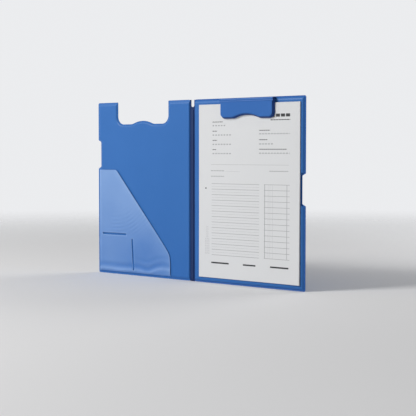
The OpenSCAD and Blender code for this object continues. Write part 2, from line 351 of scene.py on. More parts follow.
back_corners = [
    (BACK_X0, -TOP_Z, PANEL_CORNER_R, FREE),
    (BACK_X1, -TOP_Z, PANEL_CORNER_R, FREE),
    *notch_corners(BACK_X1, BACK_NOTCH_Z, 1),
    (BACK_X1, TOP_Z, PANEL_CORNER_R, FREE),
    (BACK_X0, TOP_Z, PANEL_CORNER_R, SPINE),
]
rear_face_profile = [
    (0, 0, 0, 0.36), (0.08, 0.08, 0.08, 0.14), (0.35, 0.35, 0.25, 0.01), (2.1, 2.1, 0.9, 0.01),
    (2.5, 2.5, 1.2, 0.13), (2.9, 2.9, 1.5, 0.0),
]
rear_film_inside = [(0, 0, 0, 0.40), (3.4, 3.4, 1.6, 0.40)]
back_rear = panel_skin(
    "back_rear_film_sheet", back_corners, rear_film_inside, rear_face_profile, RIM_W, [film_face, film_rim]
)
MAGNET_W = 40
MAGNET_H = 20
MAGNET_FRAME_W = 42
MAGNET_FRAME_H = 22
MAGNET_FRAME_R = 1.5
MAGNET_FRAME_LINE = 1.1
MAGNET_FRAME_DEPTH = 0.12
PRESS_CLEAR = 0.5


def cut_out(piece, cutter):
    """Cuts one mesh out of another."""
    cut = piece.modifiers.new("cut", "BOOLEAN")
    cut.operation = "DIFFERENCE"
    cut.object = cutter
    cut.solver = "EXACT"
    bpy.context.view_layer.objects.active = piece
    bpy.ops.object.modifier_apply(modifier=cut.name)
    bpy.data.objects.remove(cutter)


def block_corners(x0, x1, z0, z1, radius):
    """Corners of an upright block, for its outline."""
    return [(x0, z0, radius, FREE), (x1, z0, radius, FREE), (x1, z1, radius, FREE), (x0, z1, radius, FREE)]


def press_frames(sheet, places, depth):
    """Presses shallow frames round the magnets at these places into a sheet's rear face."""
    builder = bmesh.new()
    for x, z in places:
        rings = []
        for grow in (0, MAGNET_FRAME_LINE):
            w, h = MAGNET_FRAME_W / 2 + grow, MAGNET_FRAME_H / 2 + grow
            corners = block_corners(x - w, x + w, z - h, z + h, MAGNET_FRAME_R)
            points = outline(corners, (0,), 4)
            rings.append((ring_of(builder, points, depth), ring_of(builder, points, -PRESS_CLEAR)))
        (in_deep, in_out), (out_deep, out_out) = rings
        join_rings(builder, in_deep, out_deep, 0)
        join_rings(builder, out_deep, out_out, 0)
        join_rings(builder, out_out, in_out, 0)
        join_rings(builder, in_out, in_deep, 0)
    cut_out(sheet, finish_mesh("frame_press", builder, []))


magnet_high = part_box("wall_magnets")[1]
magnet_x = magnet_high.x / MM - MAGNET_W / 2
magnet_z = magnet_high.z / MM - MAGNET_H / 2
magnet_places = [(sx * magnet_x, sz * magnet_z) for sx in (-1, 1) for sz in (-1, 1)]
press_frames(back_rear, magnet_places, MAGNET_FRAME_DEPTH)
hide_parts("back_rear_film")
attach(back_rear, "back")

# ---------------------------------------------------------------------------
# Inside the back panel: a die-cut grey board with pockets for four flat
# ferrite magnets, which hold the folder to steel, and for the thin zinc-plated
# keeper strip that the clip closes on. All of it is sealed between the films.
# ---------------------------------------------------------------------------
BOARD_GREY = (0.36, 0.34, 0.29, 1)
BOARD_FLECK = (0.22, 0.21, 0.18, 1)
FERRITE = (0.035, 0.035, 0.04, 1)
FERRITE_FLECK = (0.06, 0.06, 0.065, 1)
ZINC = (0.62, 0.63, 0.65, 1)
ZINC_FLECK = (0.5, 0.51, 0.53, 1)


def speckled_material(name, ground, fleck, scale, roughness, metallic=0.0):
    """A matt stuff with flecks, such as recycled board or pressed ferrite."""
    material, nodes, links, shader = new_material(name, ground, roughness)
    shader.inputs["Metallic"].default_value = metallic
    place = nodes.new("ShaderNodeTexCoord")
    flecks = cloud_pattern(nodes, links, place, scale, 6)
    spread = nodes.new("ShaderNodeMapRange")
    spread.inputs["From Min"].default_value = 0.42
    spread.inputs["From Max"].default_value = 0.66
    links.new(flecks, spread.inputs["Value"])
    tint_between(nodes, links, shader, spread.outputs[0], ground, fleck)
    roughen(nodes, links, shader, flecks, 0.2, 0.0001)
    return material


grey_board = speckled_material("grey_board", BOARD_GREY, BOARD_FLECK, 900, 0.9)
ferrite = speckled_material("ferrite", FERRITE, FERRITE_FLECK, 2500, 0.6)
zinc_plate = speckled_material("zinc_plate", ZINC, ZINC_FLECK, 1200, 0.34, 1.0)


def dress_node(name, material):
    """Gives a piece that keeps its construction shape its real finish."""
    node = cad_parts[name]
    node.data.materials.clear()
    node.data.materials.append(material)


dress_node("back_board", grey_board)
dress_node("wall_magnets", ferrite)
dress_node("keeper_plate", zinc_plate)

# ---------------------------------------------------------------------------
# Front film of the back panel: the same blue film, vacuum-drawn over the board.
# Its welded rim has a low bead at the cut edge and a groove behind that, then a
# shoulder climbs to the raised face. Along the spine the weld is narrow.
# ---------------------------------------------------------------------------
back_front_profile = [
    (0, 0, 0, 0.44), (0.08, 0.08, 0.06, 0.95), (0.3, 0.3, 0.2, 1.16), (0.65, 0.65, 0.3, 1.16),
    (1.5, 1.5, 0.5, 0.74), (1.9, 2.0, 0.6, 0.74), (2.4, 2.4, 0.75, 1.16), (3.2, 2.8, 0.95, 1.96),
    (4.1, 3.15, 1.55, 2.86), (4.6, 3.32, 1.8, 3.20), (5.4, 3.7, 2.2, 3.50), (6.5, 4.4, 2.9, BACK_T),
]
back_front_inside = [(0, 0, 0, 0.41), (3.2, 2.9, 0.9, 0.41), (5.5, 3.55, 2.4, BACK_T - FILM_T)]
back_front = panel_skin(
    "back_front_film_sheet", back_corners, back_front_inside, back_front_profile, RIM_W,
    [film_face, film_rim],
)
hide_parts("back_front_film")
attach(back_front, "back")

# ---------------------------------------------------------------------------
# Spine: two narrow films round a hard strip, with an open U at the top so that
# the creases can fold. The strip shows as a low rib in a groove; the groove's
# film is painted in deep shade, and the rib's in a little less.
# ---------------------------------------------------------------------------
SPINE_W = 10
CREASE_GAP = 0.6
CREASE_STRIP_W = 0.9
STIFFENER_W = 4.6
STIFFENER_MARGIN = 4
RIB_CORNER_R = 1.2
SLOT_DEPTH = 13
SLOT_STEPS = 16
# Painted shade: the spine's film is far deeper than the face film, and the rib's a little less deep.
FILM_SPINE_SHADE = (0.012, 0.026, 0.098, 1)
FILM_SPINE_SHADE_PALE = (0.017, 0.038, 0.130, 1)
FILM_RIB_SHADE = (0.016, 0.036, 0.120, 1)
FILM_RIB_SHADE_PALE = (0.021, 0.048, 0.150, 1)
back_crease_x = BACK_X0 - CREASE_GAP
cover_crease_x = back_crease_x - SPINE_W
spine_x = (back_crease_x + cover_crease_x) / 2
slot_r = SPINE_W / 2 - CREASE_STRIP_W
slot_z = TOP_Z - SLOT_DEPTH + slot_r
film_spine_shade = film_material("film_spine_shade", FILM_SPINE_SHADE, FILM_SPINE_SHADE_PALE, 0.55, 0.10)
film_rib_shade = film_material("film_rib_shade", FILM_RIB_SHADE, FILM_RIB_SHADE_PALE, 0.5, 0.10)


def film_plate(builder, points, rear, front):
    """A flat piece of film between two depths."""
    low = ring_of(builder, points, rear)
    high = ring_of(builder, points, front)
    join_rings(builder, low, high, 0)
    builder.faces.new(low)
    builder.faces.new(high)


def spine_points():
    """The spine's outline: straight sides, straight foot, and a round-bottomed slot."""
    points = [(spine_x - slot_r, -TOP_Z), (spine_x + slot_r, -TOP_Z)]
    for k in range(SLOT_STEPS + 1):
        angle = -math.pi * k / SLOT_STEPS
        points.append((spine_x + slot_r * math.cos(angle), slot_z + slot_r * math.sin(angle)))
    return points


builder = bmesh.new()
film_plate(builder, spine_points(), 0.0, FILM_T)
spine_outer = finish_mesh("spine_outer_film_strip", builder, [film_spine_shade])
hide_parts("spine_outer_film")
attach(spine_outer, "spine")

rib_half = STIFFENER_W / 2 + FILM_T
rib_foot = -TOP_Z + STIFFENER_MARGIN - FILM_T
rib_top = slot_z - slot_r - STIFFENER_MARGIN + FILM_T
rib_corners = block_corners(spine_x - rib_half, spine_x + rib_half, rib_foot, rib_top, RIB_CORNER_R)
rib_profile = [(0, 0.6), (0, 0.82), (0.2, 1.4), (0.35, 1.72), (0.6, 1.92), (1.1, 2.02)]
builder = bmesh.new()
film_plate(builder, spine_points(), FILM_T, RIM_T)
rib_rings = [ring_of(builder, outline(rib_corners, (inset,), 4), depth) for inset, depth in rib_profile]
for k in range(len(rib_rings) - 1):
    join_rings(builder, rib_rings[k], rib_rings[k + 1], 1)
builder.faces.new(rib_rings[0])
builder.faces.new(rib_rings[-1]).material_index = 1
spine_inner = finish_mesh("spine_inner_film_strip", builder, [film_spine_shade, film_rib_shade])
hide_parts("spine_inner_film")
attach(spine_inner, "spine")
dress_node("spine_stiffener", grey_board)

# ---------------------------------------------------------------------------
# Crease films: the double film between the spine and each panel, pressed thin
# along its middle so that it folds there. It bends as the folder opens, so it
# is one sheet from panel to spine.
# ---------------------------------------------------------------------------
CREASE_TUCK = 0.7
CREASE_T = 0.72
CREASE_THIN_T = 0.46
CREASE_PRESS_W = 0.35
CREASE_END_CLEAR = 0.4
CREASE_STEPS = 18
# Painted part shade: the crease film is deeper than the face film.
FILM_CREASE_SHADE = (0.018, 0.075, 0.27, 1)
FILM_CREASE_SHADE_PALE = (0.025, 0.095, 0.32, 1)
film_crease_shade = film_material("film_crease_shade", FILM_CREASE_SHADE, FILM_CREASE_SHADE_PALE, 0.5, 0.10)


def crease_film(name, line_x, panel_side, node, material):
    """A film across a crease line: panel_side is +1 where the panel lies towards +X."""
    panel_end = line_x + panel_side * (CREASE_GAP + CREASE_TUCK)
    spine_end = line_x - panel_side * (CREASE_STRIP_W + CREASE_TUCK)
    builder = bmesh.new()
    rows = []
    for level in (-TOP_Z + CREASE_END_CLEAR, TOP_Z - CREASE_END_CLEAR):
        front, rear = [], []
        for k in range(CREASE_STEPS + 1):
            x = spine_end + (panel_end - spine_end) * k / CREASE_STEPS
            pinch = math.exp(-((x - line_x) / CREASE_PRESS_W) ** 2)
            half = (CREASE_T - (CREASE_T - CREASE_THIN_T) * pinch) / 2
            front.append(builder.verts.new((x * MM, (-FILM_T - half) * MM, level * MM)))
            rear.append(builder.verts.new((x * MM, (-FILM_T + half) * MM, level * MM)))
        rows.append(front + list(reversed(rear)))
    join_rings(builder, rows[0], rows[1], 0)
    builder.faces.new(rows[0])
    builder.faces.new(rows[1])
    film = finish_mesh(name, builder, [material])
    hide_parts(node)
    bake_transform(film)


# The back's crease takes the painted part shade, and the cover's the spine's deeper painted shade.
crease_film("back_crease_film", back_crease_x, 1, "back_crease_strip", film_crease_shade)
crease_film("cover_crease_film", cover_crease_x, -1, "cover_crease_strip", film_spine_shade)

# ---------------------------------------------------------------------------
# Cover: a thinner grey board between two films, with a cut-out at the top that
# lets the clip through when the cover is closed, and a finger notch in the free
# edge. Cut-out and notch have the outside's welded rim, a little narrower.
# ---------------------------------------------------------------------------
COVER_W = 224
COVER_T = 2.8
COVER_NOTCH_Z = 63
CLIP_W = 112
CLIP_H = 33
CLIP_DROP = 2
CLIP_CORNER_R = 9
ARCH_H = 5.8
ARCH_W = 30
ARCH_CROWN_SHARE = 0.78
CUTOUT_CLEAR = 5.5
CUTOUT_TOP_R = 1.5
cover_x1 = cover_crease_x - CREASE_GAP
cover_x0 = cover_x1 - COVER_W
cover_mid_x = (cover_x0 + cover_x1) / 2
clip_top_z = TOP_Z - CLIP_DROP
clip_low_z = clip_top_z - CLIP_H


def clip_edge_corners(mid_x, grow, kind):
    """The clip's lower edge from left to right: a lobe, an arch and a lobe, grown outwards."""
    angle = 2 * math.atan(ARCH_H / ARCH_W)
    foot_r = (1 - ARCH_CROWN_SHARE) * ARCH_W / math.sin(angle) + grow
    crown_r = ARCH_CROWN_SHARE * ARCH_W / math.sin(angle) - grow
    low = clip_low_z - grow
    foot_x = ARCH_W - foot_r * math.tan(angle / 2)
    side = CLIP_W / 2 + grow
    return [
        (mid_x - side, low, CLIP_CORNER_R + grow, kind),
        (mid_x - foot_x, low, foot_r, kind),
        (mid_x, low + foot_x * math.tan(angle), crown_r, kind),
        (mid_x + foot_x, low, foot_r, kind),
        (mid_x + side, low, CLIP_CORNER_R + grow, kind),
    ]


cutout_side = CLIP_W / 2 + CUTOUT_CLEAR
cover_corners = [
    (cover_x0, -TOP_Z, PANEL_CORNER_R, FREE),
    (cover_x1, -TOP_Z, PANEL_CORNER_R, SPINE),
    (cover_x1, TOP_Z, PANEL_CORNER_R, FREE),
    (cover_mid_x + cutout_side, TOP_Z, CUTOUT_TOP_R, OPEN),
    *reversed(clip_edge_corners(cover_mid_x, CUTOUT_CLEAR, OPEN)),
    (cover_mid_x - cutout_side, TOP_Z, CUTOUT_TOP_R, FREE),
    (cover_x0, TOP_Z, PANEL_CORNER_R, FREE),
    *notch_corners(cover_x0, COVER_NOTCH_Z, -1),
]
cover_outer = panel_skin(
    "cover_outer_film_sheet", cover_corners, rear_film_inside, rear_face_profile, RIM_W,
    [film_face, film_rim], steps=8,
)
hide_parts("cover_outer_film")
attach(cover_outer, "cover")

cover_front_profile = [
    (0, 0, 0, 0.44), (0.08, 0.08, 0.06, 0.90), (0.3, 0.3, 0.2, 1.08), (0.6, 0.55, 0.3, 1.08),
    (1.3, 1.05, 0.5, 0.76), (1.7, 1.4, 0.6, 0.78), (2.3, 1.8, 0.75, 1.10), (3.1, 2.3, 0.95, 1.58),
    (4.7, 3.3, 1.4, 2.32), (5.2, 3.75, 1.65, 2.54), (5.8, 4.25, 2.0, 2.73), (6.8, 5.1, 2.6, COVER_T),
]
cover_front_inside = [(0, 0, 0, 0.41), (3.2, 2.9, 0.9, 0.41), (5.5, 3.55, 2.3, COVER_T - FILM_T)]
cover_inner = panel_skin(
    "cover_inner_film_sheet", cover_corners, cover_front_inside, cover_front_profile, RIM_W,
    [film_face, film_face], steps=8,
)
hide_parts("cover_inner_film")
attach(cover_inner, "cover")
dress_node("cover_board", grey_board)

# ---------------------------------------------------------------------------
# Pocket: a piece of thin frosted film welded down the cover's free edge and
# along its foot, open along the slope, with a level and an upright slit for a
# card. The welds pull it into waves near the foot and ripples above; a painted
# highlight lies on the crests, ripples and cut edges, and a painted shade in the folds.
# ---------------------------------------------------------------------------
POCKET_W = 175
POCKET_H = 188
POCKET_TOP_W = 44
POCKET_SIDE_H = 38
POCKET_T = 0.2
POCKET_EDGE = 5
POCKET_ROUND = 30
POCKET_TIP_H = 5
POCKET_TIP_ROUND = 1.8
POCKET_STEP = 1.5
AIR = 0.02
SLIT_W = 3.7
SLIT_PLAY = 0.05
SLIT_CUT_UNDER = 0.5
SLIT_CUT_OVER = 2
CARD_SLIT = (8, 67.6, 60)
SIDE_SLIT = (84, 4, 58)
SIDE_SLIT_LEAN = 3.2
FROST_DEEP = (0.036, 0.158, 0.470, 1)
FROST_PALE = (0.244, 0.397, 0.700, 1)
pocket_x = cover_x0 + POCKET_EDGE
pocket_z = -TOP_Z + POCKET_EDGE


def pocket_reach(z):
    """How far the pocket reaches from its welded side at a height above its foot."""
    slope = (POCKET_W - POCKET_TOP_W) / (POCKET_H - POCKET_SIDE_H)
    gap = (z - POCKET_SIDE_H) * slope
    tip = max(0.0, z - POCKET_H + POCKET_TIP_H) / POCKET_TIP_H
    return POCKET_W - (gap + math.sqrt(gap * gap + POCKET_ROUND)) / 2 - POCKET_TIP_ROUND * tip * tip


def bell(value, middle, spread):
    """Swells softly to 1 at its middle and fades within its spread."""
    return math.exp(-((value - middle) / spread) ** 2)


def climb(value, start, end):
    """Rises softly from 0 at start to 1 at end."""
    share = min(1.0, max(0.0, (value - start) / (end - start)))
    return share * share * (3 - 2 * share)


def slit_gap(x, z):
    """How far a place in the pocket is from the nearer slit."""
    gaps = []
    for (left, foot, length), level in ((CARD_SLIT, True), (SIDE_SLIT, False)):
        wide, high = (length, SLIT_W) if level else (SLIT_W, length)
        start = left if level else left - SIDE_SLIT_LEAN * (z - foot) / high
        gaps.append(math.hypot(max(start - x, 0, x - start - wide), max(foot - z, 0, z - foot - high)))
    return min(gaps)


def pocket_lift(x, z):
    """How far the film stands off the cover at a place in the pocket, x and z from
    its corner, and how pale it is painted there: milkier where it stands off, with
    painted highlight on the crest, ripples and cut edges and painted shade in the folds."""
    stand = 0.76 + 0.64 * climb(z, 22, 160)
    # A long fold dips towards the cover, with a lesser one over its right half and a crest below.
    fold_z = 12.4 + 7 * climb(x, 108, 168) - 3.0 * bell(x, 122, 14) + 0.5 * math.sin(x / 11)
    free = 1 - 0.65 * climb(x, 150, 172)
    fold = -0.75 * bell(z, fold_z, 4.4) - 0.34 * bell(z, fold_z + 13, 4.2) * climb(x, 86, 112)
    crest = bell(z, fold_z - 8.2, 2.6)
    # Fine ripples in arcs about the pocket's upper corner, and a slow slackness all over.
    arc = math.hypot(x - 28, z - 199)
    ripple = math.sin(arc * 0.88 + 1.3 * math.sin(x / 15) + 0.6 * math.sin(z / 9)) * bell(arc, 121, 26)
    ripple *= 0.14 * climb(x, 14, 50) * climb(z, 64, 80) * (0.62 + 0.38 * math.sin(x / 6.5 + z / 12))
    slack = 0.10 * math.sin(x / 24 + 0.6) * math.sin(z / 31 + 0.4)
    # The mouth gapes a little, and the two welded edges hold the film down.
    to_mouth = pocket_reach(z) - x
    mouth = 0.55 * max(0.0, 1 - to_mouth / 18) ** 2
    held = climb(x, 0.6, 4.5) * climb(z, 0.2, 2.4)
    height = max(stand + (fold + 0.62 * crest) * free + ripple + slack + mouth, 0.08) * held
    # Standing off makes it milkier; the crest, ripples and cut edges carry a painted
    # highlight, and the folds and a patch near the cover a painted shade.
    cut = 0.55 * bell(to_mouth, 0, 1.5) + 0.4 * bell(slit_gap(x, z), 0, 1.3) + 0.25 * bell(x, 1, 1.3)
    crest_highlight = 0.42 + 0.16 * bell(x, 50, 24)
    fold_patch_shade = 0.16 * bell(x, 126, 26) * bell(z, 42, 22)
    milk_and_light = stand + 0.36 * fold + crest_highlight * crest + ripple + slack + 0.3 * mouth + cut - fold_patch_shade
    return height, milk_and_light


def border(grid):
    """The points round a grid of rows, in order."""
    right = [row[-1] for row in grid[:-1]]
    left = [row[0] for row in grid[:0:-1]]
    return grid[0][:-1] + right + grid[-1][:0:-1] + left


def sheet_between(builder, place, columns, rows, rear, front):
    """A thin sheet of small squares between two offsets. The place function gives the point at a
    column, a row and an offset."""
    layers = []
    for offset in (rear, front):
        grid = [
            [builder.verts.new(place(i, j, offset)) for i in range(columns + 1)]
            for j in range(rows + 1)
        ]
        for j in range(rows):
            for i in range(columns):
                builder.faces.new((grid[j][i], grid[j][i + 1], grid[j + 1][i + 1], grid[j + 1][i]))
        layers.append(border(grid))
    join_rings(builder, layers[0], layers[1], 0)


def pocket_sheet():
    """Builds the flat film, cuts its slits, lifts it into its waves, and keeps its milkiness with the
    painted highlight and shade.
    """
    builder = bmesh.new()
    columns = int(POCKET_W / POCKET_STEP)
    rows = int(POCKET_H / POCKET_STEP)

    def place(i, j, depth):
        z = POCKET_H * j / rows
        x = pocket_reach(z) * i / columns
        return ((pocket_x + x) * MM, -(COVER_T + depth) * MM, (pocket_z + z) * MM)

    sheet_between(builder, place, columns, rows, AIR, AIR + POCKET_T)
    sheet = finish_mesh("pocket_sheet", builder, [frosted_material()], 60)
    cut_out(sheet, slit_cutter())
    milk_and_painted_light = sheet.data.attributes.new("milk_and_painted_light", "FLOAT", "POINT")
    for vertex in sheet.data.vertices:
        x, z = vertex.co.x / MM - pocket_x, vertex.co.z / MM - pocket_z
        height, milk_and_light = pocket_lift(x, z)
        vertex.co.y -= height * MM
        milk_and_painted_light.data[vertex.index].value = milk_and_light
    return sheet


def slit_cutter():
    """Two long round-ended bodies, one for each slit; the upright one leans a little."""
    builder = bmesh.new()
    for (x, z, length), level in ((CARD_SLIT, True), (SIDE_SLIT, False)):
        wide, high = (length, SLIT_W) if level else (SLIT_W, length)
        lean = 0 if level else SIDE_SLIT_LEAN
        x0, z0 = pocket_x + x, pocket_z + z
        end_r = SLIT_W / 2 - SLIT_PLAY
        corners = [
            (x0, z0, end_r, FREE), (x0 + wide, z0, end_r, FREE),
            (x0 + wide - lean, z0 + high, end_r, FREE), (x0 - lean, z0 + high, end_r, FREE),
        ]
        film_plate(builder, outline(corners, (0,)), COVER_T - SLIT_CUT_UNDER, COVER_T + SLIT_CUT_OVER)
    return finish_mesh("slit_cutter", builder, [])


def frosted_material():
    """Frosted pale blue film: bluer where it touches the cover and milkier where it stands off, and
    painted lighter and darker by the highlight and shade kept on the sheet.
    """
    material, nodes, links, shader = new_material("pocket_frosted", FROST_DEEP, 0.36)
    place = nodes.new("ShaderNodeTexCoord")
    stand = nodes.new("ShaderNodeAttribute")
    # The sheet's value holds its milkiness together with painted highlight and painted shade.
    stand.attribute_name = "milk_and_painted_light"
    milk_and_light = nodes.new("ShaderNodeMapRange")
    milk_and_light.inputs["From Min"].default_value = 0.25
    milk_and_light.inputs["From Max"].default_value = 1.87
    links.new(stand.outputs["Fac"], milk_and_light.inputs["Value"])
    cloudy = nodes.new("ShaderNodeMath")
    cloudy.operation = "MULTIPLY_ADD"
    cloudy.inputs[1].default_value = 0.16
    links.new(cloud_pattern(nodes, links, place, 26, 4), cloudy.inputs[0])
    links.new(milk_and_light.outputs[0], cloudy.inputs[2])
    settled = nodes.new("ShaderNodeMath")
    settled.operation = "SUBTRACT"
    settled.inputs[1].default_value = 0.08
    settled.use_clamp = True
    links.new(cloudy.outputs[0], settled.inputs[0])
    tint_between(nodes, links, shader, settled.outputs[0], FROST_DEEP, FROST_PALE)
    roughen(nodes, links, shader, cloud_pattern(nodes, links, place, 900), 0.1, 0.0001)
    shader.inputs["Specular IOR Level"].default_value = 0.42
    return material


pocket = pocket_sheet()
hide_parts("pocket_film")
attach(pocket, "cover")

# ---------------------------------------------------------------------------
# Forms: blank A4 sheets of office paper, cut clean but never quite square on
# each other, with a printed form on top. The clip holds them at the head, and
# the top form lifts a little along its right edge.
# ---------------------------------------------------------------------------
SHEET_W = 210
SHEET_H = 297
STACK_T = 1.8
FORM_T = 0.2
SHEETS = 18
SHEET_SHIFT = 0.22
SHEET_TURN = 0.0008
SHEET_SHARE = 0.92
CLIP_X = 2
PAPER_DULL = (0.675, 0.687, 0.703, 1)
PAPER_BRIGHT = (0.725, 0.733, 0.745, 1)
form_depth = BACK_T + STACK_T
form_front = form_depth + FORM_T


def paper_material():
    """Uncoated white office paper with a faint fibre tooth."""
    material, nodes, links, shader = new_material("office_paper", PAPER_DULL, 0.85)
    place = nodes.new("ShaderNodeTexCoord")
    fibre = cloud_pattern(nodes, links, place, 700, 5)
    tint_between(nodes, links, shader, fibre, PAPER_DULL, PAPER_BRIGHT)
    roughen(nodes, links, shader, fibre, 0.08, 0.0001)
    shader.inputs["Specular IOR Level"].default_value = 0.15
    return material


office_paper = paper_material()


def add_slab(builder, x0, x1, z0, z1, rear, front, turn=0.0):
    """A flat rectangular slab between two depths, turned a little about its middle."""
    mid_x, mid_z = (x0 + x1) / 2, (z0 + z1) / 2
    cos, sin = math.cos(turn), math.sin(turn)
    points = []
    for x, z in ((x0, z0), (x1, z0), (x1, z1), (x0, z1)):
        dx, dz = x - mid_x, z - mid_z
        points.append((mid_x + dx * cos - dz * sin, mid_z + dx * sin + dz * cos))
    film_plate(builder, points, rear, front)


random.seed(7)
builder = bmesh.new()
sheet_pitch = STACK_T / SHEETS
for k in range(SHEETS):
    x0 = CLIP_X - SHEET_W / 2 + random.uniform(-SHEET_SHIFT, SHEET_SHIFT)
    z0 = -SHEET_H / 2 + random.uniform(-SHEET_SHIFT, SHEET_SHIFT)
    rear = BACK_T + k * sheet_pitch
    turn = random.uniform(-SHEET_TURN, SHEET_TURN)
    add_slab(builder, x0, x0 + SHEET_W, z0, z0 + SHEET_H, rear, rear + sheet_pitch * SHEET_SHARE, turn)
stack = finish_mesh("blank_forms", builder, [office_paper])
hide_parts("paper_stack")
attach(stack, "back")


def form_lift(x, z):
    """How far the form lifts off the stack: not at all in its upper part, and further down a
    little at both corners and more along the right edge."""
    away = max(0.0, 0.62 - z / SHEET_H)
    side = abs(x / SHEET_W - 0.5) * 2
    right = max(0.0, x / SHEET_W - 0.75) * 4
    return 1.2 * away * away * side ** 4 + 0.05 * away + 1.1 * away ** 0.5 * right * right


def form_mesh():
    """The form as a thin sheet with its slight curl."""
    builder = bmesh.new()
    columns, rows = 42, 60

    def place(i, j, offset):
        x, z = SHEET_W * i / columns, SHEET_H * j / rows
        depth = form_depth + offset + form_lift(x, z)
        return ((CLIP_X - SHEET_W / 2 + x) * MM, -depth * MM, (-SHEET_H / 2 + z) * MM)

    sheet_between(builder, place, columns, rows, AIR, AIR + FORM_T * 0.5)
    return finish_mesh("top_form", builder, [office_paper])


form = form_mesh()
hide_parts("form_sheet")
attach(form, "back")

# ---------------------------------------------------------------------------
# Print on the form: thin layers of grey and black ink, laid out as a work
# record with two columns of fields, a table, a grid and a note up the margin.
# It is rules, bars and dashes only, and carries no words.
# ---------------------------------------------------------------------------
INK_T = 0.02
INK_SUNK = 0.03
INK_APART = 0.04
BAR_STEP = 12
RULE_T = 0.7
HAIRLINE_T = 0.22
FIELD_X = (30, 129)
LABEL_T = 1.2
ENTRY_T = 1.9
TABLE_X = (28, 129)
TABLE_TOP = 144.5
TABLE_ROWS = 13
ROW_PITCH = 9.4
GRID_X = (138.8, 190.6)
GRID_RISE = 0.2
GRID_UPRIGHTS = ((139.8, 1.1), (147.2, HAIRLINE_T), (151, HAIRLINE_T), (156.2, HAIRLINE_T), (184.6, 0.9))
NOTE_DOWN = 209.8
NOTE_DASH = 3.2
NOTE_PITCH = 4.1
NOTE_DASHES = 12
NOTE_T = 0.45
HEAD_BLOCK_W = 8.2
PALE_INK = (0.30, 0.305, 0.32, 1)
DARK_INK = (0.024, 0.024, 0.027, 1)
INK_WORN = 1.35


def print_bar(builder, x0, x1, down, thick):
    """A printed bar, placed from the sheet's top left corner, lying on the form's face."""
    left = CLIP_X - SHEET_W / 2
    low = SHEET_H / 2 - down - thick / 2
    steps = max(1, round((x1 - x0) / BAR_STEP))
    rings = []
    for k in range(steps + 1):
        x = x0 + (x1 - x0) * k / steps
        face = form_depth + FORM_T / 2 + form_lift(x, SHEET_H - down)
        rear, front = face - INK_SUNK, face + AIR + INK_T
        section = ((low, rear), (low, front), (low + thick, front), (low + thick, rear))
        rings.append([builder.verts.new(((left + x) * MM, -depth * MM, z * MM)) for z, depth in section])
    for first, second in zip(rings, rings[1:]):
        join_rings(builder, first, second, 0)
    builder.faces.new(rings[0])
    builder.faces.new(rings[-1])


def print_dashes(builder, x0, x1, down, thick, dash, gap):
    """A broken bar: where a form has small writing."""
    x = x0
    while x < x1:
        print_bar(builder, x, min(x + dash, x1), down, thick)
        x += dash + gap


pale_print = bmesh.new()
dark_print = bmesh.new()
# Fields in two columns, each a dark label over a pale entry, as (down, length).
left_labels = ((30, 21.7), (45.6, 9.5), (61.2, 9.5), (76.9, 8))
left_entries = ((36.2, 29.4), (52.2, 40.6), (68, 40.6), (83.7, 40.6))
right_labels = ((45.3, 22), (60.7, 16.5), (76.5, 55))
right_entries = ((51, 61), (67.7, 29), (83.1, 61))
for x, labels, entries, dash in (
    (FIELD_X[0], left_labels, left_entries, 3.2),
    (FIELD_X[1], right_labels, right_entries, 3.6),
):
    for down, length in labels:
        print_dashes(dark_print, x, x + length, down, LABEL_T, dash, 0.7)
    for down, length in entries:
        print_dashes(pale_print, x, x + length, down, ENTRY_T, 3.4, 2.6)
# The long rule and three headings under it.
print_bar(pale_print, 26.5, 188.5, 102.4, 0.4)
print_dashes(pale_print, 26.5, 55, 113, LABEL_T, 5, 0.9)
print_bar(pale_print, 58, 89, 113.9, HAIRLINE_T)
print_dashes(pale_print, 150, 187, 112.6, 1.4, 3.2, 1.1)
print_dashes(pale_print, 26.5, 55, 122.4, LABEL_T, 4.4, 0.9)
# The table of ruled rows, with a hairline along the middle of each, and the grid beside it.
for k in range(-1, TABLE_ROWS):
    down = TABLE_TOP + k * ROW_PITCH
    print_bar(pale_print, *TABLE_X, down, RULE_T)
    print_bar(pale_print, *GRID_X, down - GRID_RISE, RULE_T)
for k in range(TABLE_ROWS):
    down = TABLE_TOP + (k - 0.5) * ROW_PITCH
    print_bar(pale_print, *TABLE_X, down, HAIRLINE_T)
    for x, line_t in GRID_UPRIGHTS:
        print_bar(pale_print, x, x + line_t, down - GRID_RISE, ROW_PITCH - RULE_T - INK_APART)
# The mark for a hole punch, and a note of four lines up the margin.
print_bar(dark_print, 14.0, 16.6, 143.1, 2.2)
for x, first in ((14.4, 5), (17.2, 0), (19.6, 0), (22.0, 5)):
    for k in range(first, NOTE_DASHES):
        print_bar(pale_print, x, x + NOTE_T, NOTE_DOWN + k * NOTE_PITCH, NOTE_DASH)
# Three bars at the foot, and four blocks over a dashed line at the head.
for x0, x1 in ((27.2, 65.2), (95.4, 121.7), (151.6, 188.9)):
    print_bar(dark_print, x0, x1, 270.8, 2.6)
for x0 in (152, 162.5, 172.5, 182.5):
    print_bar(dark_print, x0, x0 + HEAD_BLOCK_W, 21, 5)
print_dashes(dark_print, 152, 191, 28.4, 1.4, 4.6, 0.8)


def ink_material(name, colour):
    """Printer's ink, a little uneven where the paper's tooth shows through."""
    material, nodes, links, shader = new_material(name, colour, 0.7)
    place = nodes.new("ShaderNodeTexCoord")
    tooth = cloud_pattern(nodes, links, place, 1600)
    worn = tuple(min(1, c * INK_WORN) for c in colour[:3]) + (1,)
    tint_between(nodes, links, shader, tooth, colour, worn)
    return material


for name, strokes, colour in (("form_rules", pale_print, PALE_INK), ("form_marks", dark_print, DARK_INK)):
    printed = finish_mesh(name, strokes, [ink_material(name + "_ink", colour)])
    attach(printed, "back")

